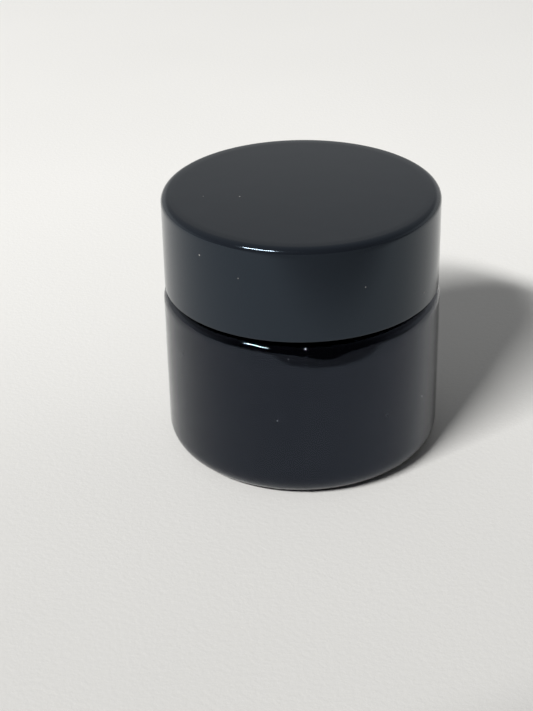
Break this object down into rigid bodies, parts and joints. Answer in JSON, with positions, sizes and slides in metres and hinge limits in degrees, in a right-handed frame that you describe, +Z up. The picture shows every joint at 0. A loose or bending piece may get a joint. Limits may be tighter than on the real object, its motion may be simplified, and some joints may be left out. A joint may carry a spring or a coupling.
{
  "type": "cosmetic cream jar",
  "caption": "Straight-sided thick-walled violet glass cream jar with a smooth black double-wall screw lid, a foam wad in the lid and a removable inner disc over the mouth.",
  "frame": {"origin": "centre of the ring that the jar stands on", "axes": "+Z up along the axis of the jar and the lid; the thread on the neck begins at +X"},
  "size_m": [0.056, 0.056, 0.0543],
  "materials": {
    "violet_glass": "very dark violet moulded glass, polished, looks black except where light comes through it",
    "black_shell": "polished black moulded plastic with very fine handling marks",
    "black_insert": "satin black moulded polypropylene",
    "wad_foam": "white closed-cell polyethylene foam",
    "wad_film": "smooth white facing film",
    "natural_plastic": "natural, slightly translucent moulded polyethylene"
  },
  "bodies": {
    "jar": {"glass_jar": "violet_glass"},
    "disc": {"inner_disc": "natural_plastic"},
    "wad": {"wad_foam_core": "wad_foam", "wad_facing_film": "wad_film"},
    "lid": {"lid_outer_shell": "black_shell", "lid_threaded_insert": "black_insert"}
  },
  "joints": [
    {"name": "lid_lift", "type": "slide", "parent": "jar", "child": "wad", "axis": [0, 0, 1], "range_m": [0, 0.0212]},
    {"name": "lid_turn", "type": "hinge", "parent": "wad", "child": "lid", "pos_m": [0, 0, 0.045], "axis": [0, 0, 1], "range_deg": [0, 1800]},
    {"name": "disc_lift", "type": "slide", "parent": "jar", "child": "disc", "axis": [0, 0, 1], "range_m": [0, 0.0072]}
  ],
  "couplings": [
    {"joint": "lid_lift", "follows": "lid_turn", "m_per_rad": 0.0006737},
    {"joint": "disc_lift", "follows": "lid_turn", "m_per_rad": 0.000228}
  ]
}
